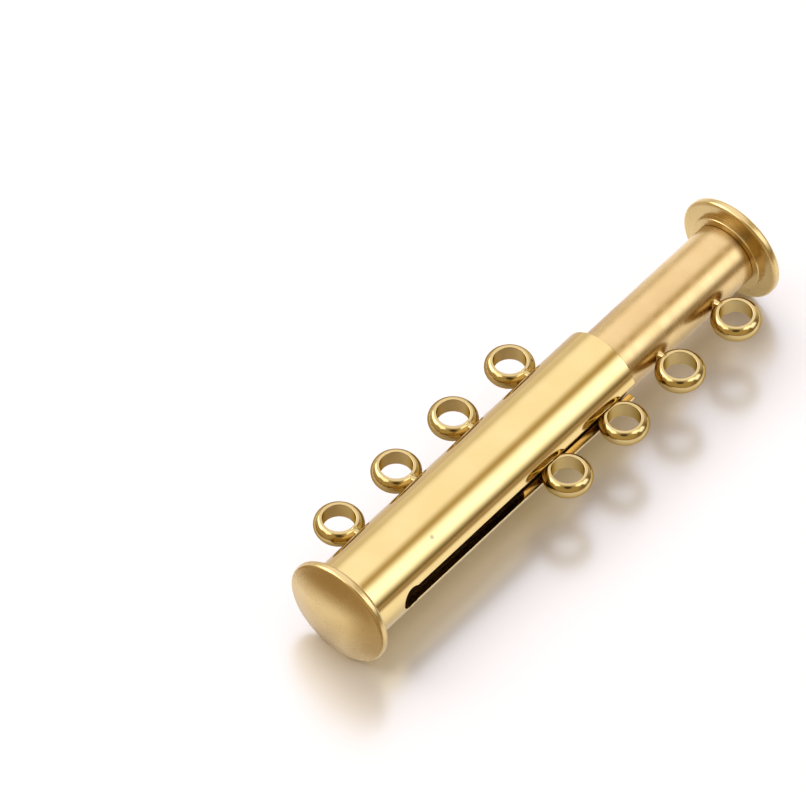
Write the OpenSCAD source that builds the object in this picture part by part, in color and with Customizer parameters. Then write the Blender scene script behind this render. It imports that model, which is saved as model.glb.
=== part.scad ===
// Four-strand slide clasp for a bracelet or necklace: a slotted sleeve with four soldered
// rings, and a thinner tube with four more, which slides in the sleeve along its slot.
// Millimetres. X runs along the tubes, from the sleeve's cap to the inner tube's cap, Z is up.
// The origin is on the surface that the caps rest on, under the middle of the open clasp.

/* [Strands] */
// Number of rings on each tube, one for each strand
strand_count = 4; // [2:1:6]
// Distance between the centres of neighbouring rings
ring_pitch = 4.85; // [4:0.05:6]
// Diameter of the hole in a ring
ring_hole_d = 1.86; // [1.2:0.02:2]
// Diameter of the flat rim round a ring's hole
ring_rim_d = 2.2; // [2.1:0.02:2.4]
// Outer diameter of a ring at its middle
ring_od = 2.86; // [2.6:0.02:3.2]
// Thickness of a ring along its hole
ring_h = 1.06; // [0.8:0.02:1.08]
// Width of the solder neck between a ring and its tube
neck_w = 0.5; // [0.3:0.05:0.8]
// Height of that neck
neck_h = 0.8; // [0.6:0.05:0.8]

/* [Sleeve] */
// Outer diameter of the sleeve
sleeve_od = 5; // [4.9:0.05:5.4]
// Wall of the sleeve
sleeve_wall = 0.45; // [0.3:0.05:0.5]
// From the sleeve cap's rim to its first ring
sleeve_first_ring = 4.6; // [4.4:0.1:6]
// From the sleeve's last ring to its open end
sleeve_mouth = 3.2; // [2:0.1:5]
// Width of the slot that the inner tube's rings run in
slot_w = 1.22; // [1.2:0.02:1.4]
// Diameter of the round hole that ends the slot
slot_end_d = 1.5; // [1.4:0.05:1.8]
// From the sleeve cap's rim to the middle of that hole
slot_end_x = 3.35; // [3.3:0.05:3.4]

/* [Inner tube] */
// Outer diameter of the inner tube
inner_od = 3.96; // [3.5:0.02:4]
// Wall of the inner tube
inner_wall = 0.4; // [0.25:0.05:0.5]
// From the inner tube's own end to its first ring
inner_lead = 1.96; // [1.6:0.02:2]
// How far the inner tube is drawn out of the closed clasp
slide_out = 10.7; // [0:0.1:16]

/* [End caps] */
// Diameter of both end caps
cap_d = 6.62; // [6.2:0.02:7.4]
// Thickness of a cap's rim
cap_rim_t = 0.56; // [0.44:0.02:0.8]
// Radius of the rounding on both edges of the rim
cap_edge_r = 0.2; // [0.1:0.02:0.2]
// Height of the dome above the rim
cap_dome_h = 0.62; // [0.3:0.02:1]
// Diameter of the collar between a cap's rim and its tube
collar_d = 4.84; // [4.5:0.02:4.84]
// Length of that collar
collar_t = 0.32; // [0.2:0.02:0.4]
// Width of the flat under each cap, on which the clasp lies without rolling
rest_flat_w = 1.8; // [1:0.1:2.2]

/* [Magnets] */
// Thickness of the disc in the closed end of the sleeve
sleeve_magnet_t = 1.2; // [0.8:0.05:1.2]
// Thickness of the disc in the end of the inner tube
inner_magnet_t = 2; // [1:0.1:3]

/* [Hidden] */
$fn = 64;
gold = [0.83, 0.62, 0.27];
satin_gold = [0.80, 0.60, 0.34];
magnet_grey = [0.55, 0.56, 0.58];
// Gap that keeps soldered or pressed pieces apart, and the play left when the clasp is closed
seam_gap = 0.02;
// Gap round a plug or a magnet in its tube
socket_gap = 0.06;
// Gap between a ring's widest line and its tube, which only the neck crosses
ring_gap = 0.03;
// Length of a cap's plug inside its tube, and the arc steps of its rim and of its dome
plug_l = 0.6;
edge_steps = 6;
dome_steps = 16;
sleeve_r = sleeve_od/2;
sleeve_bore_r = sleeve_r - sleeve_wall;
inner_r = inner_od/2;
inner_bore_r = inner_r - inner_wall;
ring_r = ring_od/2;
ring_hole_r = ring_hole_d/2;
ring_rim_r = ring_rim_d/2;
ring_span = (strand_count - 1)*ring_pitch;
sleeve_ring_y = sleeve_r + ring_gap + ring_r;
inner_ring_y = -(inner_r + ring_gap + ring_r);
// From the middle of a cap's rim to the end of its collar, and on to the end of its plug
cap_back = cap_rim_t/2 + collar_t;
plug_end = cap_back + plug_l;
sleeve_start = cap_back + seam_gap;
sleeve_end = sleeve_first_ring + ring_span + sleeve_mouth;
// The closed clasp has its rings side by side and the inner cap's collar at the sleeve's mouth
inner_cap_x = sleeve_end + seam_gap + cap_back + slide_out;
inner_first_ring = sleeve_first_ring + slide_out;
inner_start = inner_first_ring - inner_lead;
inner_end = inner_cap_x - cap_back - seam_gap;
// Middle of the clasp's outline, which stands over the origin
axis_y = -(sleeve_ring_y + inner_ring_y)/2;
// The caps rest on their flats, which take a sliver off their half diameter
axis_z = sqrt(cap_d*cap_d - rest_flat_w*rest_flat_w)/2;

// Points of an arc about [x, y] from one angle to another
function arc(x, y, r, from, to, steps) =
    [for (i = [0:steps]) let (a = from + (to - from)*i/steps) [x + r*cos(a), y + r*sin(a)]];

// Half outline of a domed cap: radius across, distance towards the dome upwards
function cap_outline(plug_r) =
    let (edge_x = cap_d/2 - cap_edge_r,
         edge_y = cap_rim_t/2 - cap_edge_r,
         dome_r = (edge_x*edge_x + cap_dome_h*cap_dome_h)/(2*cap_dome_h),
         dome_y = cap_rim_t/2 + cap_dome_h - dome_r,
         dome_angle = acos(edge_x/dome_r))
    concat(
        [[0, -plug_end], [plug_r, -plug_end], [plug_r, -cap_back]],
        [[collar_d/2, -cap_back], [collar_d/2, -cap_rim_t/2]],
        arc(edge_x, -edge_y, cap_edge_r, -90, 0, edge_steps),
        arc(edge_x, edge_y, cap_edge_r, 0, 90, edge_steps),
        [for (i = [1:dome_steps]) let (a = dome_angle + (90 - dome_angle)*i/dome_steps)
            [dome_r*cos(a), dome_y + dome_r*sin(a)]]);

// Puts the tubes' axis over the origin, at the height at which the caps rest
module placed() {
    translate([-inner_cap_x/2, axis_y, axis_z]) children();
}

// Round bar along X from one place to another
module bar(from, to, r) {
    translate([from, 0, 0]) rotate([0, 90, 0]) cylinder(h = to - from, r = r);
}

// Tube along X
module tube(from, to, outer_r, bore_r) {
    difference() {
        bar(from, to, outer_r);
        bar(from - 1, to + 1, bore_r);
    }
}

// Ring with a flat rim and a barrel-shaped outside, its hole upright
module ring() {
    barrel_x = (ring_r*ring_r - ring_rim_r*ring_rim_r - ring_h*ring_h/4)/(2*(ring_r - ring_rim_r));
    rotate_extrude() intersection() {
        translate([ring_hole_r, -ring_h/2]) square([ring_r, ring_h]);
        translate([barrel_x, 0]) circle(r = ring_r - barrel_x);
    }
}

// Upright solder neck from inside the tube's wall to inside the ring, towards +Y
module neck(tube_r, tube_wall) {
    from = tube_r - tube_wall/2;
    to = tube_r + ring_gap + ring_r - (ring_hole_r + ring_rim_r)/2;
    end_r = neck_w/2;
    translate([0, to, 0]) rotate([90, 0, 0]) linear_extrude(height = to - from) {
        square([neck_w, neck_h - neck_w], center = true);
        for (z = [-1, 1]) translate([0, z*(neck_h - neck_w)/2]) circle(r = end_r);
    }
}

// Row of rings with their necks, on the +Y side of a tube
module ring_row(first, tube_r, tube_wall) {
    for (i = [0:strand_count - 1]) translate([first + i*ring_pitch, 0, 0]) {
        translate([0, tube_r + ring_gap + ring_r, 0]) ring();
        neck(tube_r, tube_wall);
    }
}

// Slot through the -Y wall, open at the sleeve's mouth and round at its other end
module slot() {
    translate([slot_end_x, -sleeve_od, -slot_w/2]) cube([sleeve_end, sleeve_od, slot_w]);
    translate([slot_end_x, 0, 0]) rotate([90, 0, 0]) cylinder(h = sleeve_od, d = slot_end_d);
}

module sleeve() {
    color(gold) placed() {
        difference() {
            tube(sleeve_start, sleeve_end, sleeve_r, sleeve_bore_r);
            slot();
        }
        ring_row(sleeve_first_ring, sleeve_r, sleeve_wall);
    }
}

module inner_tube() {
    color(satin_gold) placed() {
        tube(inner_start, inner_end, inner_r, inner_bore_r);
        mirror([0, 1, 0]) ring_row(inner_first_ring, inner_r, inner_wall);
    }
}

// Cap with its dome towards +X, and its rest flat below
module cap(plug_r) {
    difference() {
        rotate([0, 90, 0]) rotate_extrude() polygon(cap_outline(plug_r));
        translate([-cap_d, -cap_d, -axis_z - cap_d]) cube([2*cap_d, 2*cap_d, cap_d]);
    }
}

module sleeve_end_cap() {
    color(gold) placed() mirror([1, 0, 0]) cap(sleeve_bore_r - socket_gap);
}

module inner_end_cap() {
    color(gold) placed() translate([inner_cap_x, 0, 0]) cap(inner_bore_r - socket_gap);
}

module sleeve_magnet() {
    from = plug_end + seam_gap;
    color(magnet_grey) placed() bar(from, from + sleeve_magnet_t, sleeve_bore_r - socket_gap);
}

module inner_magnet() {
    from = inner_start + seam_gap;
    color(magnet_grey) placed() bar(from, from + inner_magnet_t, inner_bore_r - socket_gap);
}

sleeve();
sleeve_end_cap();
sleeve_magnet();
inner_tube();
inner_end_cap();
inner_magnet();
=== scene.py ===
"""Four-strand slide clasp, lying drawn open on a pale studio floor.

Lengths and places are in millimetres, as in the CAD source, and become metres where objects and
nodes are made. The lamp, the floor's size, the camera's clipping and the limits for joining points
are stated in metres.
"""

import math

import bmesh
import bpy
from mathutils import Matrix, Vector

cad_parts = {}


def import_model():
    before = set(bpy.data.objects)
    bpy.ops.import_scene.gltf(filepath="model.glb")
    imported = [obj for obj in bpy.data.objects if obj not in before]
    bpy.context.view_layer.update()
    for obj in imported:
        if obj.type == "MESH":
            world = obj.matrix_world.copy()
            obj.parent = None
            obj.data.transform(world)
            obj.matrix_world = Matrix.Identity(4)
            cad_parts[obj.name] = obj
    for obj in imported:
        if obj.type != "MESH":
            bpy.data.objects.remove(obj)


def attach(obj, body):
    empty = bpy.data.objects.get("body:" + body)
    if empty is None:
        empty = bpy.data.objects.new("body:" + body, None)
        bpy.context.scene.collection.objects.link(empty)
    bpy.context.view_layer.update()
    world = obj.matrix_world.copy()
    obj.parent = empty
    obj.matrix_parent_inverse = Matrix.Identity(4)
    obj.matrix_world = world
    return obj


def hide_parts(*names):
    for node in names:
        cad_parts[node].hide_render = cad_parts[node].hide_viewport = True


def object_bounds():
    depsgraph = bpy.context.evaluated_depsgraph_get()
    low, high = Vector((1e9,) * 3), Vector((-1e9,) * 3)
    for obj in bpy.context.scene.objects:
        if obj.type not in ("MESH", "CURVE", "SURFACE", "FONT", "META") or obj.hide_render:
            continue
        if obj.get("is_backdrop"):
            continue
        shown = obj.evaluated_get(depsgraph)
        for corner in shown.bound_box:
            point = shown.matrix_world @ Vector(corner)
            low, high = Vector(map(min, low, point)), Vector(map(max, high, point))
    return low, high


MM = 0.001

# Sizes that the CAD model fixes
AXIS_Y = -0.26
CAP_R = 3.31
REST_FLAT_W = 1.8
AXIS_Z = math.sqrt(CAP_R ** 2 - (REST_FLAT_W / 2) ** 2)
SLEEVE_CAP_X = -16.835
INNER_CAP_X = 16.835
SLEEVE_START = -16.215
SLEEVE_END = 5.515
SLEEVE_R = 2.5
SLEEVE_BORE_R = 2.05
INNER_START = -3.495
INNER_END = 16.215
INNER_R = 1.98
INNER_BORE_R = 1.58
SLOT_END_X = -13.485
SLOT_END_R = 0.75
SLOT_HALF_W = 0.61
RING_PITCH = 4.85
RING_COUNT = 4
RING_R = 1.43
RING_HOLE_R = 0.93
RING_HALF_H = 0.53
RING_BARREL_X = 0.84
RING_BARREL_R = 0.59
RING_GAP = 0.03
NECK_W = 0.5
NECK_H = 0.8
SLEEVE_FIRST_RING = -12.235
INNER_FIRST_RING = -1.535
CAP_RIM_HALF_T = 0.28
CAP_EDGE_R = 0.2
CAP_DOME_H = 0.62
COLLAR_R = 2.42
COLLAR_END = 0.6
PLUG_END = 1.2
SOCKET_GAP = 0.06
SLEEVE_MAGNET = (-15.615, -14.415)
INNER_MAGNET = (-3.475, -1.475)

# Radii of the softened edges that only the scene has
RING_SOFT_R = 0.035
SLEEVE_SOFT_R = 0.04
INNER_SOFT_R = 0.02
CAP_SOFT_R = 0.06
MAGNET_SOFT_R = 0.08

# Solder neck: how far it stands out from the CAD model's at its middle, more at both ends, and more
# above and below, then how deep it goes into its tube and how far past the gap towards the ring
NECK_SWELL = 0.03
NECK_SPREAD = 0.08
NECK_RISE = 0.07
NECK_ROOT = 0.12
NECK_REACH = 0.38
NECK_STEPS = 14
NECK_CORNERS = 32

# How finely round forms are divided
RING_SEGMENTS = 128
RING_BARREL_STEPS = 22
# How far the ring's barrel stops short of its rims, where the rounding takes over, in degrees
RING_BARREL_STOP = 3
TUBE_SEGMENTS = 160
CAP_SEGMENTS = 192
CAP_RIM_STEPS = 10
CAP_DOME_STEPS = 26
# Where a cap's rim stops turning towards its dome, and how far past its edge the dome starts, in degrees
CAP_RIM_STOP = 78
CAP_DOME_START = 1.2
DISC_SEGMENTS = 96
SOFT_STEPS = 4

# Distance from an edge to the extra points that keep smooth shading true beside it
RING_SUPPORT = 0.01
TUBE_SUPPORT = 0.02
CAP_SUPPORT = 0.006
END_SUPPORT = 0.015

# Sleeve wall: columns round each half, and the angle from the slot's middle within which they follow
# the slot's edge, in radians
WALL_COLUMNS = 90
GATHER_ANGLE = 0.8
SLOT_STRAIGHT_STEPS = 40
SLOT_ARC_STEPS = 18
# Where the slot's straight rows stop before its round end, where the arc's rows start, in degrees, and
# how far past the slot's end the first two closed rows stand
SLOT_STRAIGHT_STOP = 0.12
SLOT_ARC_START = 6
CLOSED_ROWS = (0.08, 0.3)

# Points nearer than the first are one and edges shorter than the second are dropped, in metres. A
# profile's point with a radius below the third lies on its axis.
SAME_POINT = 1e-7
EMPTY_EDGE = 1e-8
ON_AXIS = 1e-9

# Camera, fitted to the photo: angles in degrees, other values in millimetres, clipping in metres
CAMERA_TARGET = (-1.17, 8.48, -0.125)
CAMERA_AZIMUTH = -49.72
CAMERA_ELEVATION = 51.15
CAMERA_DISTANCE = 760.0
CAMERA_LENS = 611.3
SENSOR = 36.0
CLIP_START = 0.01
CLIP_END = 20

# Metal plate: noise scales per metre and detail, the part of the noise's range that makes the whole
# change, how much of the roughness changes, and the relief, its height in millimetres
TONE_SCALE = 400.0
BUFFING_SCALE = 1500.0
NOISE_DETAIL = 2.0
TONE_RANGE = (0.35, 0.65)
BUFFING_RANGE = (0.3, 0.7)
ROUGHNESS_CHANGE = 0.12
RELIEF_STRENGTH = 0.3
RELIEF_HEIGHT = 0.0002
# Buffing lines run round the tubes, so their noise is stretched across the tubes' axis
TURNED = (1, 0.08, 0.08)
# How far past a bore's wall its rougher plate, darkened as painted shade, reaches, over its softened edges
BORE_PAINT = 0.03

# A small scuff on the sleeve: its place, its soft edge and its tone
SCUFF = (-10.835, -1.789, 5.163)
SCUFF_EDGE = (0.08, 0.18)
SCUFF_TONE = (0.5, 0.54, 0.72)

# Studio room. Directions are stated towards the image's right, away from the camera and up. Each edge
# is the cosine at which a wall starts to show and the one at which it is full.
STUDIO_GAIN = 1.6
ROOM_COLOR = (0.38, 0.30, 0.16)
ROOM_RIGHT_COLOR = (0.17, 0.135, 0.07)
ROOM_RIGHT_EDGE = (0.55, 0.95)
ROOM_BACK_COLOR = (0.58, 0.55, 0.52)
ROOM_BACK_EDGE = (0.25, 0.9)
LENS_COLOR = (0.06, 0.05, 0.03)
LENS_EDGE = (0.955, 0.99)

# Soft panels, as seen from the clasp. The edges are tangents of angles from the panel's centre: where
# it starts, is full, starts to end and has ended.
OVERHEAD_PANEL = {
    "centre": (0, 0, 1),
    "sideways": (1, 0, 0),
    "edges_sideways": (-1.4, -0.9, 0.36, 0.68),
    "edges_upwards": (-0.5, -0.1, 1.2, 3.2),
    "color": (0.90, 0.90, 1.02),
    "first_look": False,
}
LEFT_PANEL = {
    "centre": (-0.68, 0.35, 0.6),
    "sideways": (0, -1, 0),
    "edges_sideways": (-0.6, -0.3, 0.3, 0.6),
    "edges_upwards": (-0.35, -0.1, 0.2, 0.45),
    "color": (2.8, 2.8, 2.9),
    "first_look": True,
}
RIGHT_PANEL = {
    "centre": (0.823, -0.07, 0.563),
    "sideways": (0, 1, 0),
    "edges_sideways": (-0.3, -0.14, 0.14, 0.3),
    "edges_upwards": (-0.6, -0.12, 0.02, 0.42),
    "color": (1.35, 1.42, 1.68),
    "first_look": False,
}
FRONT_PANEL_CENTRE = (0.583, -0.272, 0.766)
FRONT_PANEL_EDGES = (-0.28, -0.16, 0.16, 0.28)
FRONT_PANEL_COLOR = (1.5, 1.5, 1.5)
# Cosines between which a panel comes into sight, and the least depth that a place on it is divided by
PANEL_FACING = (0.0, 0.05)
LEAST_DEPTH = 0.001
# Between these glossy depths a panel that is only for the first look goes out of sight
FIRST_LOOK_DEPTHS = (1.2, 1.8)

# Floor: as the camera sees it, and as the gold mirrors it
FLOOR_HALF_SIZE = 2.0
FLOOR_SEEN = (0.68, 0.63, 0.56)
FLOOR_GLOSS = 0.38
FLOOR_ROUGHNESS = 0.27
FLOOR_MIRRORED = (0.62, 0.62, 0.63)
FLOOR_SHADED = (0.20, 0.135, 0.07)
MIRRORED_GLOSS = 0.2
MIRRORED_GLOW = 0.6

# Shades on the mirrored floor, each edge a pair of places between which it is soft. Past the near cap:
# distance from the cap's foot, and place along the clasp.
NEAR_CAP_FOOT = (-17.5, 0, 0)
PAST_CAP_REACH = (4.0, 10.5)
PAST_CAP_EDGE = (-19.5, -16.5)
# In front of the clasp, and at the near cap's right foot
IN_FRONT_EDGE = (-27.0, -14.0)
CORNER_SHADE = 0.68
CORNER_SIDE_EDGE = (-2.6, 0.8)
CORNER_END_EDGE = (-18.2, -16.8)
# Beside the sleeve, in a slanted band
BESIDE_SHADE = 0.6
BESIDE_SLANT = -0.54
BESIDE_SIDE_EDGE = (-1.5, 1.0)
BESIDE_START_EDGE = (-23.0, -16.5)
BESIDE_END_EDGE = (6.0, 14.0)

# Soft lamp that lights the floor and isn't seen in the gold: direction as for the room, metres and watts
KEY_TOWARDS = (-0.25, 0.65, 0.72)
KEY_DISTANCE = 0.3
KEY_SIZE = 0.2
KEY_POWER = 0.3


def loop_pairs(count):
    """Neighbouring indices round a closed loop."""
    return [(i, (i + 1) % count) for i in range(count)]


def arc_points(cx, cy, radius, start, end, steps):
    """Points of an arc about (cx, cy), angles in degrees."""
    points = []
    for i in range(steps + 1):
        angle = math.radians(start + (end - start) * i / steps)
        points.append((cx + radius * math.cos(angle), cy + radius * math.sin(angle)))
    return points


def with_support(points, distance, closed=True):
    """Adds a point near both ends of each straight span of more than four times the distance."""
    result = []
    count = len(points)
    spans = count if closed else count - 1
    for i in range(spans):
        a = points[i]
        b = points[(i + 1) % count]
        length = math.dist(a, b)
        result.append(a)
        if length > 4 * distance:
            for share in (distance / length, 1 - distance / length):
                result.append((a[0] + (b[0] - a[0]) * share, a[1] + (b[1] - a[1]) * share))
    if not closed:
        result.append(points[-1])
    return result


def round_corner(a, corner, b, radius, steps=SOFT_STEPS):
    """Arc that rounds a corner between two straight spans."""
    to_a = Vector((a[0] - corner[0], a[1] - corner[1])).normalized()
    to_b = Vector((b[0] - corner[0], b[1] - corner[1])).normalized()
    half = to_a.angle(to_b) / 2
    reach = radius / math.tan(half)
    middle = (to_a + to_b).normalized() * (radius / math.sin(half))
    centre = Vector(corner) + middle
    first = Vector(corner) + to_a * reach - centre
    last = Vector(corner) + to_b * reach - centre
    start = math.atan2(first.y, first.x)
    turn = math.atan2(last.y, last.x) - start
    turn = (turn + math.pi) % (2 * math.pi) - math.pi
    return arc_points(centre.x, centre.y, radius, math.degrees(start), math.degrees(start + turn), steps)


def rounded(points, radius):
    """A closed outline with every corner rounded."""
    result = []
    count = len(points)
    for i in range(count):
        result += round_corner(points[i - 1], points[i], points[(i + 1) % count], radius)
    return result


def strip(first, second):
    """Faces between two rows of vertex indices."""
    return [(first[c], first[c + 1], second[c + 1], second[c]) for c in range(len(first) - 1)]


class Shape:
    """Collects vertices in millimetres and faces, and makes one mesh object of them."""

    def __init__(self):
        self.vertices = []
        self.faces = []

    def add(self, vertices, faces):
        base = len(self.vertices)
        self.vertices += vertices
        self.faces += [tuple(base + i for i in face) for face in faces]

    def lathe(self, profile, place, segments, closed=True):
        """Turns a profile of (radius, along) about an axis, which the place function sets."""
        count = len(profile)
        vertices = []
        for j in range(segments):
            angle = 2 * math.pi * j / segments
            for radius, along in profile:
                vertices.append(place(radius * math.cos(angle), radius * math.sin(angle), along))
        faces = []
        rows = loop_pairs(count) if closed else [(i, i + 1) for i in range(count - 1)]
        for j, k in loop_pairs(segments):
            for a, b in rows:
                if profile[a][0] < ON_AXIS and profile[b][0] < ON_AXIS:
                    continue
                faces.append((j * count + a, j * count + b, k * count + b, k * count + a))
        self.add(vertices, faces)

    def loft(self, sections):
        """Joins closed sections of equal count, and closes both ends."""
        count = len(sections[0])
        last = (len(sections) - 1) * count
        vertices = [point for section in sections for point in section]
        faces = []
        for s in range(len(sections) - 1):
            for a, b in loop_pairs(count):
                faces.append((s * count + a, s * count + b, (s + 1) * count + b, (s + 1) * count + a))
        faces.append(tuple(reversed(range(count))))
        faces.append(tuple(last + i for i in range(count)))
        self.add(vertices, faces)

    def build(self, name, material, body, nodes):
        """Makes the object, tidies its mesh, puts it on its body and hides the CAD nodes that it takes the
        place of.
        """
        mesh = bpy.data.meshes.new(name)
        mesh.from_pydata([(x * MM, y * MM, z * MM) for x, y, z in self.vertices], [], self.faces)
        piece = bpy.data.objects.new(name, mesh)
        bpy.context.scene.collection.objects.link(piece)
        tidy(mesh)
        mesh.materials.append(material)
        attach(piece, body)
        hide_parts(*nodes)
        return piece


def tidy(mesh):
    """Joins doubled points, drops empty faces, turns all faces outwards and shades them smooth."""
    work = bmesh.new()
    work.from_mesh(mesh)
    bmesh.ops.remove_doubles(work, verts=work.verts, dist=SAME_POINT)
    bmesh.ops.dissolve_degenerate(work, edges=work.edges, dist=EMPTY_EDGE)
    bmesh.ops.recalc_face_normals(work, faces=work.faces)
    work.to_mesh(mesh)
    work.free()
    mesh.shade_smooth()


def along_x(start=0.0, direction=1.0):
    """Place function for a lathe about the tubes' axis."""
    def place(across, side, along):
        return (start + direction * along, AXIS_Y + across, AXIS_Z + side)
    return place


def upright(x, y):
    """Place function for a lathe about a ring's upright axis."""
    def place(across, side, along):
        return (x + across, y + side, AXIS_Z + along)
    return place


def ring_profile():
    """Flat rims, a barrel-shaped outside and a straight bore, with softly rounded rim edges."""
    flat_r = RING_BARREL_X + math.sqrt(RING_BARREL_R ** 2 - RING_HALF_H ** 2)
    angle = math.degrees(math.acos((flat_r - RING_BARREL_X) / RING_BARREL_R)) - RING_BARREL_STOP
    barrel = arc_points(RING_BARREL_X, 0, RING_BARREL_R, -angle, angle, RING_BARREL_STEPS)
    outer_rim = (flat_r, RING_HALF_H)
    inner_rim = (RING_HOLE_R, RING_HALF_H)
    top = round_corner(barrel[-1], outer_rim, inner_rim, RING_SOFT_R, SOFT_STEPS - 1)
    bore_top = round_corner(outer_rim, inner_rim, (RING_HOLE_R, 0), RING_SOFT_R)
    lower = [(r, -z) for r, z in reversed(top + bore_top)]
    return with_support(barrel + top + bore_top + lower, RING_SUPPORT)


def add_neck(shape, x, side, tube_r):
    """Solder neck: an upright stub with round ends, spread where it meets the tube and the ring."""
    start = tube_r - NECK_ROOT
    end = tube_r + RING_GAP + NECK_REACH
    straight = (NECK_H - NECK_W) / 2 + NECK_RISE
    sections = []
    for i in range(NECK_STEPS + 1):
        share = i / NECK_STEPS
        half_w = NECK_W / 2 + NECK_SWELL + NECK_SPREAD * (2 * share - 1) ** 4
        y = AXIS_Y + side * (start + (end - start) * share)
        section = []
        for k in range(NECK_CORNERS):
            angle = 2 * math.pi * (k + 0.5) / NECK_CORNERS
            lift = math.copysign(straight, math.sin(angle))
            section.append((x + half_w * math.cos(angle), y, AXIS_Z + lift + half_w * math.sin(angle)))
        sections.append(section)
    shape.loft(sections)


def add_ring_row(shape, first_x, side, tube_r):
    """Rings and their solder necks along the side of a tube; side is +1 or -1 in Y."""
    centre_y = AXIS_Y + side * (tube_r + RING_GAP + RING_R)
    for i in range(RING_COUNT):
        x = first_x + i * RING_PITCH
        shape.lathe(ring_profile(), upright(x, centre_y), RING_SEGMENTS)
        add_neck(shape, x, side, tube_r)


def soft_edge_steps():
    """Steps round a softened edge: shares of its radius left along one side and gone down the other."""
    angles = [math.radians(90 * k / SOFT_STEPS) for k in range(1, SOFT_STEPS + 1)]
    return [(1 - math.sin(angle), 1 - math.cos(angle)) for angle in angles]


def slot_rows():
    """Places along the slot's side, from the sleeve's mouth to its round end: (x, z, normal x, normal z)."""
    corner_x = math.sqrt(SLOT_END_R ** 2 - SLOT_HALF_W ** 2)
    corner_angle = math.degrees(math.atan2(SLOT_HALF_W, corner_x))
    straight_end = SLOT_END_X + corner_x + SLOT_STRAIGHT_STOP
    rows = []
    for i in range(SLOT_STRAIGHT_STEPS + 1):
        x = SLEEVE_END + (straight_end - SLEEVE_END) * i / SLOT_STRAIGHT_STEPS
        rows.append((x, SLOT_HALF_W, 0.0, 1.0))
    mitre = Vector((corner_x / SLOT_END_R, SLOT_HALF_W / SLOT_END_R + 1)).normalized()
    rows.append((SLOT_END_X + corner_x, SLOT_HALF_W, mitre.x / mitre.y, 1.0))
    arc = arc_points(0, 0, 1, corner_angle + SLOT_ARC_START, 180, SLOT_ARC_STEPS - 1)
    for across, up in arc:
        rows.append((SLOT_END_X + SLOT_END_R * across, SLOT_END_R * up, across, up))
    return rows


def wall_columns(radius, edge_x, edge_z, row_x):
    """Points round half of a wall, from the slot's edge to the middle of the ring side."""
    edge_angle = math.asin(max(0.0, edge_z) / radius)
    points = []
    for c in range(WALL_COLUMNS + 1):
        even = math.pi * c / WALL_COLUMNS
        share = min(1.0, even / GATHER_ANGLE)
        angle = even if share >= 1 else edge_angle + (GATHER_ANGLE - edge_angle) * share
        x = edge_x + (row_x - edge_x) * share
        points.append((x, AXIS_Y - radius * math.cos(angle), AXIS_Z + radius * math.sin(angle)))
    return points


def on_wall(row, offset, radius, shift):
    """Point on a round wall, offset from the slot's edge along the edge's normal."""
    x = row[0] + row[2] * offset + shift
    z = max(0.0, row[1] + row[3] * offset)
    return (x, AXIS_Y - math.sqrt(radius ** 2 - z ** 2), AXIS_Z + z)


def open_section(row, inset=0.0, shift=0.0):
    """Section of the half wall beside the slot: outer wall, the slot's softened edges, inner wall."""
    outer_r = SLEEVE_R - inset
    inner_r = SLEEVE_BORE_R + inset
    edge_x = row[0] + row[2] * (SLEEVE_SOFT_R + inset) + shift
    edge_z = row[1] + row[3] * (SLEEVE_SOFT_R + inset)
    steps = [(SLEEVE_SOFT_R * left, SLEEVE_SOFT_R * gone) for left, gone in soft_edge_steps()]
    section = list(reversed(wall_columns(outer_r, edge_x, edge_z, row[0] + shift)))
    for left, gone in steps:
        section.append(on_wall(row, inset + left, outer_r - gone, shift))
    section.append(on_wall(row, inset, outer_r - SLEEVE_SOFT_R - TUBE_SUPPORT, shift))
    section.append(on_wall(row, inset, inner_r + SLEEVE_SOFT_R + TUBE_SUPPORT, shift))
    for left, gone in reversed(steps):
        section.append(on_wall(row, inset + left, inner_r + gone, shift))
    return section + wall_columns(inner_r, edge_x, edge_z, row[0] + shift)


def open_sections():
    """All sections beside the slot, from the softened edge of the sleeve's mouth to the slot's end."""
    rows = slot_rows()
    mouth = rows[0]
    sections = [open_section(mouth, SLEEVE_SOFT_R + END_SUPPORT)]
    for left, gone in reversed(soft_edge_steps()):
        sections.append(open_section(mouth, SLEEVE_SOFT_R * gone, -SLEEVE_SOFT_R * left))
    sections.append(open_section(mouth, 0.0, -SLEEVE_SOFT_R))
    sections.append(open_section(mouth, 0.0, -SLEEVE_SOFT_R - TUBE_SUPPORT))
    sections += [open_section(row) for row in rows[1:]]
    return sections


def closed_rows():
    """Rows of the wall behind the slot's end, to the sleeve's closed end: (x, inset)."""
    tip = SLOT_END_X - SLOT_END_R
    rows = [(tip - distance, 0.0) for distance in CLOSED_ROWS]
    rows.append((SLEEVE_START + SLEEVE_SOFT_R + TUBE_SUPPORT, 0.0))
    rows.append((SLEEVE_START + SLEEVE_SOFT_R, 0.0))
    for left, gone in soft_edge_steps():
        rows.append((SLEEVE_START + SLEEVE_SOFT_R * left, SLEEVE_SOFT_R * gone))
    rows.append((SLEEVE_START, SLEEVE_SOFT_R + END_SUPPORT))
    return rows


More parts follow.
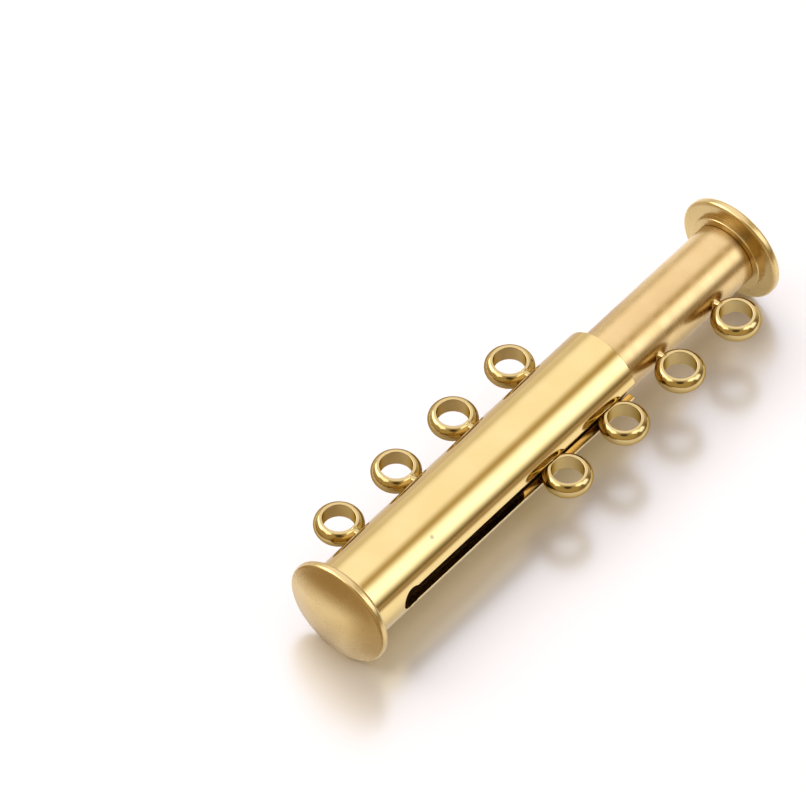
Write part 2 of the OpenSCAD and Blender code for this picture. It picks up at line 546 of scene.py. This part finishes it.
def slotted_half():
    """Upper half of the sleeve's tube, from the middle of its slot to the middle of its ring side."""
    half = Shape()
    sections = open_sections()
    size = len(sections[0])
    width = WALL_COLUMNS + 1
    vertices = [point for section in sections for point in section]
    faces = []
    for s in range(len(sections) - 1):
        here = range(s * size, (s + 1) * size)
        after = range((s + 1) * size, (s + 2) * size)
        faces += strip(here, after)
    # Face of the mouth, between its outer and inner edges, and the slot's side there
    faces += strip(range(size - width, size), range(WALL_COLUMNS, -1, -1))
    faces.append(tuple(range(WALL_COLUMNS, size - WALL_COLUMNS)))
    # Closed part of the tube behind the slot's round end
    last = (len(sections) - 1) * size
    outer = range(last + WALL_COLUMNS, last - 1, -1)
    inner = range(last + size - width, last + size)
    for x, inset in closed_rows():
        base = len(vertices)
        next_outer = range(base, base + width)
        next_inner = range(base + width, base + 2 * width)
        vertices += wall_columns(SLEEVE_R - inset, x, 0.0, x)
        vertices += wall_columns(SLEEVE_BORE_R + inset, x, 0.0, x)
        for old, new in zip(strip(outer, next_outer), strip(inner, next_inner)):
            faces += [old, new]
        outer = next_outer
        inner = next_inner
    faces += strip(outer, inner)
    half.add(vertices, faces)
    return half


def add_slotted_tube(shape):
    """Both halves of the sleeve's tube; tidy() joins them along the middle."""
    half = slotted_half()
    shape.add(half.vertices, half.faces)
    mirrored = [(x, y, 2 * AXIS_Z - z) for x, y, z in half.vertices]
    shape.add(mirrored, [tuple(reversed(face)) for face in half.faces])


def inner_tube_profile():
    """Wall of the inner tube with softly rounded ends."""
    outside = [(INNER_R, INNER_START), (INNER_R, INNER_END)]
    inside = [(INNER_BORE_R, INNER_END), (INNER_BORE_R, INNER_START)]
    return with_support(rounded(outside + inside, INNER_SOFT_R), TUBE_SUPPORT)


def cap_profile(plug_r):
    """Domed cap: plug, collar, flange with a rounded edge, dome."""
    edge_x = CAP_R - CAP_EDGE_R
    edge_y = CAP_RIM_HALF_T - CAP_EDGE_R
    dome_r = (edge_x ** 2 + CAP_DOME_H ** 2) / (2 * CAP_DOME_H)
    dome_y = CAP_RIM_HALF_T + CAP_DOME_H - dome_r
    dome_angle = math.degrees(math.acos(edge_x / dome_r))
    plug_edge = (plug_r, -PLUG_END)
    plug_foot = (plug_r, -COLLAR_END)
    collar_edge = (COLLAR_R, -COLLAR_END)
    collar_foot = (COLLAR_R, -CAP_RIM_HALF_T)
    plug = [(0.0, -PLUG_END)] + round_corner((0, -PLUG_END), plug_edge, plug_foot, CAP_SOFT_R) + [plug_foot]
    collar = round_corner(plug_foot, collar_edge, collar_foot, CAP_SOFT_R) + [collar_foot]
    rim = arc_points(edge_x, -edge_y, CAP_EDGE_R, -90, 0, CAP_RIM_STEPS)
    rim += arc_points(edge_x, edge_y, CAP_EDGE_R, 0, CAP_RIM_STOP, CAP_RIM_STEPS)
    dome = arc_points(0, dome_y, dome_r, dome_angle + CAP_DOME_START, 90, CAP_DOME_STEPS)
    dome[-1] = (0.0, dome[-1][1])
    return with_support(plug + collar + rim + dome, CAP_SUPPORT, closed=False)


def build_cap(name, x, direction, bore_r, body, node, material):
    """Domed cap, cut off at the floor where it rests on its small flat."""
    part = Shape()
    part.lathe(cap_profile(bore_r - SOCKET_GAP), along_x(x, direction), CAP_SEGMENTS, closed=False)
    part.vertices = [(px, py, max(0.0, pz)) for px, py, pz in part.vertices]
    part.build(name, material, body, [node])


def build_magnet(name, span, bore_r, body, node, material):
    """Magnet disc with rounded edges."""
    radius = bore_r - SOCKET_GAP
    start = (radius, span[0])
    end = (radius, span[1])
    profile = [(0.0, span[0])]
    profile += round_corner((0, span[0]), start, end, MAGNET_SOFT_R)
    profile += round_corner(start, end, (0, span[1]), MAGNET_SOFT_R)
    profile += [(0.0, span[1])]
    disc = Shape()
    disc.lathe(with_support(profile, TUBE_SUPPORT, closed=False), along_x(), DISC_SEGMENTS, closed=False)
    disc.build(name, material, body, [node])


class Nodes:
    """Small helper for shader node trees."""

    def __init__(self, tree):
        self.tree = tree
        tree.nodes.clear()

    def new(self, kind, **settings):
        node = self.tree.nodes.new(kind)
        for key, value in settings.items():
            setattr(node, key, value)
        return node

    def link(self, source, target):
        self.tree.links.new(source, target)

    def math(self, operation, *values):
        """Result of one operation on numbers or other nodes' outputs."""
        node = self.new("ShaderNodeMath", operation=operation)
        for i, value in enumerate(values):
            if isinstance(value, (int, float)):
                node.inputs[i].default_value = value
            else:
                self.link(value, node.inputs[i])
        return node.outputs[0]

    def vector_math(self, operation, source, constant):
        """One number from a changing vector and a constant one."""
        node = self.new("ShaderNodeVectorMath", operation=operation)
        self.link(source, node.inputs[0])
        node.inputs[1].default_value = constant
        return node.outputs["Value"]

    def ramp(self, value, span, start=0.0, end=1.0):
        """Soft change from start to end while the value goes through the span."""
        node = self.new("ShaderNodeMapRange", interpolation_type="SMOOTHSTEP")
        self.link(value, node.inputs["Value"])
        node.inputs["From Min"].default_value = span[0]
        node.inputs["From Max"].default_value = span[1]
        node.inputs["To Min"].default_value = start
        node.inputs["To Max"].default_value = end
        return node.outputs["Result"]

    def place_ramp(self, value, span, start=0.0, end=1.0):
        """The same for a place or distance, its span in millimetres."""
        return self.ramp(value, (span[0] * MM, span[1] * MM), start, end)

    def noise(self, vector, scale, stretch=(1, 1, 1)):
        mapping = self.new("ShaderNodeMapping")
        mapping.inputs["Scale"].default_value = stretch
        self.link(vector, mapping.inputs["Vector"])
        node = self.new("ShaderNodeTexNoise")
        node.inputs["Scale"].default_value = scale
        node.inputs["Detail"].default_value = NOISE_DETAIL
        self.link(mapping.outputs["Vector"], node.inputs["Vector"])
        return node.outputs["Fac"]

    def cover(self, color, factor, over, blend="MIX"):
        """Lays a plain colour over a changing one where the factor is 1."""
        node = self.new("ShaderNodeMix", data_type="RGBA", blend_type=blend)
        self.link(factor, node.inputs[0])
        self.link(color, node.inputs[6])
        node.inputs[7].default_value = (*over, 1)
        return node.outputs[2]

    def mix_color(self, factor, a, b):
        """Changes from one plain colour to another as the factor goes from 0 to 1."""
        node = self.new("ShaderNodeMix", data_type="RGBA")
        self.link(factor, node.inputs[0])
        node.inputs[6].default_value = (*a, 1)
        node.inputs[7].default_value = (*b, 1)
        return node.outputs[2]

    def mix_shaders(self, factor, first, second):
        """Mixes two shaders by a number or by another node's output."""
        node = self.new("ShaderNodeMixShader")
        if isinstance(factor, float):
            node.inputs[0].default_value = factor
        else:
            self.link(factor, node.inputs[0])
        self.link(first, node.inputs[1])
        self.link(second, node.inputs[2])
        return node.outputs[0]


def plate_material(name, light, deep, roughness, buffing=BUFFING_SCALE, stretch=(1, 1, 1),
                   edge=None, mark=None):
    """Metal plate: soft tone changes, with fine buffing lines in roughness and bump.

    edge is the tint of its glancing reflections, mark is the place of one small scuff.
    """
    material = bpy.data.materials.new(name)
    material.use_nodes = True
    nodes = Nodes(material.node_tree)
    output = nodes.new("ShaderNodeOutputMaterial")
    shader = nodes.new("ShaderNodeBsdfPrincipled")
    nodes.link(shader.outputs["BSDF"], output.inputs["Surface"])
    shader.inputs["Metallic"].default_value = 1.0
    if edge is not None:
        shader.inputs["Specular Tint"].default_value = (*edge, 1)
    place = nodes.new("ShaderNodeTexCoord").outputs["Object"]
    color = nodes.mix_color(nodes.ramp(nodes.noise(place, TONE_SCALE), TONE_RANGE), light, deep)
    if mark is not None:
        distance = nodes.vector_math("DISTANCE", place, Vector(mark) * MM)
        color = nodes.cover(color, nodes.place_ramp(distance, SCUFF_EDGE, 1.0, 0.0), SCUFF_TONE, "MULTIPLY")
    nodes.link(color, shader.inputs["Base Color"])
    lines = nodes.noise(place, buffing, stretch)
    smooth = roughness * (1 - ROUGHNESS_CHANGE)
    rough = roughness * (1 + ROUGHNESS_CHANGE)
    nodes.link(nodes.ramp(lines, BUFFING_RANGE, smooth, rough), shader.inputs["Roughness"])
    relief = nodes.new("ShaderNodeBump")
    relief.inputs["Strength"].default_value = RELIEF_STRENGTH
    relief.inputs["Distance"].default_value = RELIEF_HEIGHT * MM
    nodes.link(lines, relief.inputs["Height"])
    nodes.link(relief.outputs["Normal"], shader.inputs["Normal"])
    return material


def polished_gold():
    """Bright plate of the sleeve, with its scuff."""
    return plate_material("polished_gold", (0.73, 0.55, 0.235), (0.70, 0.52, 0.21), 0.10,
                          stretch=TURNED, mark=SCUFF)


def satin_gold():
    """Turned, softer plate of the inner tube."""
    return plate_material("satin_gold", (0.655, 0.468, 0.21), (0.626, 0.438, 0.19), 0.26, stretch=TURNED)


def soft_gold():
    """Evenly softened plate of the caps."""
    return plate_material("soft_gold", (0.655, 0.488, 0.222), (0.625, 0.458, 0.197), 0.26, buffing=900.0)


def ring_gold():
    """Bright, deeper plate of the rings."""
    return plate_material("ring_gold", (0.57, 0.43, 0.19), (0.53, 0.395, 0.165), 0.09, edge=(0.5, 0.36, 0.2))


def rough_bore_painted_shade():
    """Inside of both tubes: a rougher plate whose darker colour is painted shade in the bores."""
    return plate_material("rough_bore_painted_shade", (0.50, 0.38, 0.25), (0.42, 0.31, 0.20), 0.5)


def nickel():
    """Plate of the hidden magnets."""
    return plate_material("nickel", (0.62, 0.62, 0.60), (0.52, 0.52, 0.51), 0.22, buffing=3000.0)


def paint(piece, material, chosen):
    """Gives a material to the faces whose middle, as distances from the tubes' axis, is chosen."""
    piece.data.materials.append(material)
    index = len(piece.data.materials) - 1
    for face in piece.data.polygons:
        side = face.center.y / MM - AXIS_Y
        height = face.center.z / MM - AXIS_Z
        if chosen(side, height):
            face.material_index = index


def build_sleeve(bore, rings):
    """Slotted tube with its four rings."""
    shape = Shape()
    add_slotted_tube(shape)
    add_ring_row(shape, SLEEVE_FIRST_RING, 1, SLEEVE_R)
    piece = shape.build("sleeve_with_rings", polished_gold(), "sleeve_half", ["sleeve"])
    # The bore's faces take the darker plate: painted shade inside the sleeve
    paint(piece, bore, lambda side, height: math.hypot(side, height) < SLEEVE_BORE_R + BORE_PAINT)
    paint(piece, rings, lambda side, height: side > SLEEVE_R + RING_GAP)


def build_inner_tube(bore, rings):
    """Sliding tube with its four rings."""
    shape = Shape()
    shape.lathe(inner_tube_profile(), along_x(), TUBE_SEGMENTS)
    add_ring_row(shape, INNER_FIRST_RING, -1, INNER_R)
    piece = shape.build("inner_tube_with_rings", satin_gold(), "inner_half", ["inner_tube"])
    # The bore's faces take the darker plate: painted shade inside the inner tube
    paint(piece, bore, lambda side, height: math.hypot(side, height) < INNER_BORE_R + BORE_PAINT)
    paint(piece, rings, lambda side, height: side < -INNER_R - RING_GAP)


def build_parts():
    """All pieces of the clasp, each in place of its CAD node."""
    # Rougher plate for both bores, its darker colour painted shade
    bore = rough_bore_painted_shade()
    rings = ring_gold()
    build_sleeve(bore, rings)
    build_inner_tube(bore, rings)
    caps = soft_gold()
    build_cap("sleeve_domed_cap", SLEEVE_CAP_X, -1, SLEEVE_BORE_R, "sleeve_half", "sleeve_end_cap", caps)
    build_cap("inner_domed_cap", INNER_CAP_X, 1, INNER_BORE_R, "inner_half", "inner_end_cap", caps)
    plate = nickel()
    build_magnet("sleeve_magnet_disc", SLEEVE_MAGNET, SLEEVE_BORE_R, "sleeve_half", "sleeve_magnet", plate)
    build_magnet("inner_magnet_disc", INNER_MAGNET, INNER_BORE_R, "inner_half", "inner_magnet", plate)


def camera_back():
    """Unit vector from the target to the camera."""
    azimuth = math.radians(CAMERA_AZIMUTH)
    elevation = math.radians(CAMERA_ELEVATION)
    return Vector((math.sin(azimuth) * math.cos(elevation),
                   -math.cos(azimuth) * math.cos(elevation),
                   math.sin(elevation)))


def from_image(right, away, up):
    """Direction in the CAD frame of one that is stated as seen in the image."""
    azimuth = math.radians(CAMERA_AZIMUTH)
    right_axis = Vector((math.cos(azimuth), math.sin(azimuth), 0))
    away_axis = Vector((-math.sin(azimuth), math.cos(azimuth), 0))
    return (right_axis * right + away_axis * away + Vector((0, 0, up))).normalized()


def turn_towards(item, direction):
    """Turns a camera or lamp, which look along their own -Z, to look along a direction."""
    item.rotation_mode = "QUATERNION"
    item.rotation_quaternion = direction.to_track_quat("-Z", "Y")


def make_camera():
    """Camera at the photo's angle."""
    back = camera_back()
    data = bpy.data.cameras.new("camera")
    data.sensor_width = SENSOR
    data.lens = CAMERA_LENS
    data.clip_start = CLIP_START
    data.clip_end = CLIP_END
    camera = bpy.data.objects.new("camera", data)
    bpy.context.scene.collection.objects.link(camera)
    camera.location = Vector(CAMERA_TARGET) * MM + back * CAMERA_DISTANCE * MM
    turn_towards(camera, -back)
    bpy.context.scene.camera = camera


def make_key():
    """Soft lamp behind and left of the clasp, which gives the floor its shadows."""
    towards = from_image(*KEY_TOWARDS)
    data = bpy.data.lights.new("key", "AREA")
    data.shape = "DISK"
    data.size = KEY_SIZE
    data.energy = KEY_POWER
    key = bpy.data.objects.new("key", data)
    bpy.context.scene.collection.objects.link(key)
    key.location = towards * KEY_DISTANCE
    turn_towards(key, -towards)
    key.visible_glossy = False
    key.visible_camera = False


def floor_shade(nodes):
    """How far the mirrored floor is shaded at a place, from 0 to 1."""
    position = nodes.new("ShaderNodeNewGeometry").outputs["Position"]
    place = nodes.new("ShaderNodeSeparateXYZ")
    nodes.link(position, place.inputs[0])
    along = place.outputs["X"]
    side = place.outputs["Y"]
    from_cap = nodes.vector_math("DISTANCE", position, Vector(NEAR_CAP_FOOT) * MM)
    past_cap = nodes.math("MULTIPLY", nodes.place_ramp(from_cap, PAST_CAP_REACH),
                          nodes.place_ramp(along, PAST_CAP_EDGE, 1.0, 0.0))
    corner = nodes.math("MULTIPLY", nodes.place_ramp(side, CORNER_SIDE_EDGE, CORNER_SHADE, 0.0),
                        nodes.place_ramp(along, CORNER_END_EDGE, 1.0, 0.0))
    # Both shades at the cap together: what one leaves lit, the other shades
    lit_past_cap = nodes.math("SUBTRACT", 1.0, past_cap)
    lit_corner = nodes.math("SUBTRACT", 1.0, corner)
    at_cap = nodes.math("SUBTRACT", 1.0, nodes.math("MULTIPLY", lit_past_cap, lit_corner))
    in_front = nodes.place_ramp(side, IN_FRONT_EDGE, 1.0, 0.0)
    # The photo's other clasp, which is left out, lies beside the sleeve
    slanted = nodes.math("MULTIPLY_ADD", side, BESIDE_SLANT, along)
    band = nodes.math("MULTIPLY", nodes.place_ramp(slanted, BESIDE_START_EDGE),
                      nodes.place_ramp(slanted, BESIDE_END_EDGE, 1.0, 0.0))
    beside = nodes.math("MULTIPLY", nodes.place_ramp(side, BESIDE_SIDE_EDGE, 0.0, BESIDE_SHADE), band)
    return nodes.math("MAXIMUM", nodes.math("MAXIMUM", at_cap, in_front), beside)


def mirrored_floor(nodes, glossy):
    """The floor in the gold's reflections: partly glossy, glowing a little, shaded in places."""
    tone = nodes.mix_color(floor_shade(nodes), FLOOR_MIRRORED, FLOOR_SHADED)
    grey = nodes.new("ShaderNodeBsdfDiffuse")
    nodes.link(tone, grey.inputs["Color"])
    glow = nodes.new("ShaderNodeEmission")
    nodes.link(tone, glow.inputs["Color"])
    glow.inputs["Strength"].default_value = MIRRORED_GLOW
    lit = nodes.new("ShaderNodeAddShader")
    nodes.link(grey.outputs[0], lit.inputs[0])
    nodes.link(glow.outputs[0], lit.inputs[1])
    return nodes.mix_shaders(MIRRORED_GLOSS, lit.outputs[0], glossy)


def seen_floor(nodes, glossy):
    """The floor as the camera sees it: over-lit white, with soft images of the clasp."""
    white = nodes.new("ShaderNodeBsdfDiffuse")
    white.inputs["Color"].default_value = (*FLOOR_SEEN, 1)
    return nodes.mix_shaders(FLOOR_GLOSS, white.outputs[0], glossy)


def floor_material():
    """One finish for the camera's view of the floor and one for the gold's reflections of it."""
    material = bpy.data.materials.new("white_gloss")
    material.use_nodes = True
    nodes = Nodes(material.node_tree)
    output = nodes.new("ShaderNodeOutputMaterial")
    glossy = nodes.new("ShaderNodeBsdfAnisotropic")
    glossy.inputs["Roughness"].default_value = FLOOR_ROUGHNESS
    mirrored = mirrored_floor(nodes, glossy.outputs[0])
    seen = seen_floor(nodes, glossy.outputs[0])
    path = nodes.new("ShaderNodeLightPath")
    nodes.link(nodes.mix_shaders(path.outputs["Is Camera Ray"], mirrored, seen), output.inputs["Surface"])
    return material


def make_floor():
    """Large floor sheet."""
    half = FLOOR_HALF_SIZE
    corners = [(-half, -half, 0), (half, -half, 0), (half, half, 0), (-half, half, 0)]
    mesh = bpy.data.meshes.new("floor")
    mesh.from_pydata(corners, [], [(0, 1, 2, 3)])
    floor = bpy.data.objects.new("floor", mesh)
    bpy.context.scene.collection.objects.link(floor)
    floor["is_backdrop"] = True
    mesh.materials.append(floor_material())


def front_panel(side):
    """Small soft panel in front, to the left of the image for -1 and to its right for 1."""
    right, away, up = FRONT_PANEL_CENTRE
    return {
        "centre": (side * right, away, up),
        "sideways": (0, side, 0),
        "edges_sideways": FRONT_PANEL_EDGES,
        "edges_upwards": FRONT_PANEL_EDGES,
        "color": FRONT_PANEL_COLOR,
        "first_look": True,
    }


def panel_mask(nodes, direction, panel):
    """1 inside a flat panel that faces the clasp, 0 outside, soft at its edges."""
    centre = from_image(*panel["centre"])
    sideways = from_image(*panel["sideways"])
    sideways = (sideways - centre * sideways.dot(centre)).normalized()
    upwards = centre.cross(sideways)
    facing = nodes.vector_math("DOT_PRODUCT", direction, centre)
    depth = nodes.math("MAXIMUM", facing, LEAST_DEPTH)
    mask = nodes.ramp(facing, PANEL_FACING)
    for axis, edges in ((sideways, panel["edges_sideways"]), (upwards, panel["edges_upwards"])):
        place = nodes.math("DIVIDE", nodes.vector_math("DOT_PRODUCT", direction, axis), depth)
        inside = nodes.math("MULTIPLY", nodes.ramp(place, edges[:2]), nodes.ramp(place, edges[2:], 1.0, 0.0))
        mask = nodes.math("MULTIPLY", mask, inside)
    return mask


def room_color(nodes, direction):
    """Dim warm room with a darker right wall, a paler back wall and a dark spot round the camera."""
    right = nodes.vector_math("DOT_PRODUCT", direction, from_image(1, 0, 0))
    away = nodes.vector_math("DOT_PRODUCT", direction, from_image(0, 1, 0))
    back = nodes.vector_math("DOT_PRODUCT", direction, camera_back())
    color = nodes.mix_color(nodes.ramp(right, ROOM_RIGHT_EDGE), ROOM_COLOR, ROOM_RIGHT_COLOR)
    color = nodes.cover(color, nodes.ramp(away, ROOM_BACK_EDGE), ROOM_BACK_COLOR)
    return nodes.cover(color, nodes.ramp(back, LENS_EDGE), LENS_COLOR)


def make_world():
    """Soft studio light: the room and its panels for the gold and the floor, plain pale to the camera."""
    world = bpy.data.worlds.new("studio")
    bpy.context.scene.world = world
    world.use_nodes = True
    nodes = Nodes(world.node_tree)
    output = nodes.new("ShaderNodeOutputWorld")
    direction = nodes.new("ShaderNodeTexCoord").outputs["Generated"]
    path = nodes.new("ShaderNodeLightPath")
    first_look = nodes.ramp(path.outputs["Glossy Depth"], FIRST_LOOK_DEPTHS, 1.0, 0.0)
    color = room_color(nodes, direction)
    for panel in (OVERHEAD_PANEL, LEFT_PANEL, RIGHT_PANEL, front_panel(-1), front_panel(1)):
        mask = panel_mask(nodes, direction, panel)
        # Some panels are out of sight in reflections of reflections, as in the clasp's image in the floor
        if panel["first_look"]:
            mask = nodes.math("MULTIPLY", mask, first_look)
        color = nodes.cover(color, mask, panel["color"])
    studio = nodes.new("ShaderNodeBackground")
    nodes.link(color, studio.inputs["Color"])
    studio.inputs["Strength"].default_value = STUDIO_GAIN
    pale = nodes.new("ShaderNodeBackground")
    shown = nodes.mix_shaders(path.outputs["Is Camera Ray"], studio.outputs[0], pale.outputs[0])
    nodes.link(shown, output.inputs["Surface"])


def write_sizes(cad_box):
    """Works out the CAD box and the box of what shows; the table of both is not kept."""
    low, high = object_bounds()
    {"cad": [list(cad_box[0]), list(cad_box[1])], "visual": [list(low), list(high)]}


def main():
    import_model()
    cad_box = [tuple(corner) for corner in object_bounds()]
    bpy.context.scene.view_settings.view_transform = "Standard"
    make_camera()
    make_world()
    make_key()
    make_floor()
    build_parts()
    write_sizes(cad_box)


main()
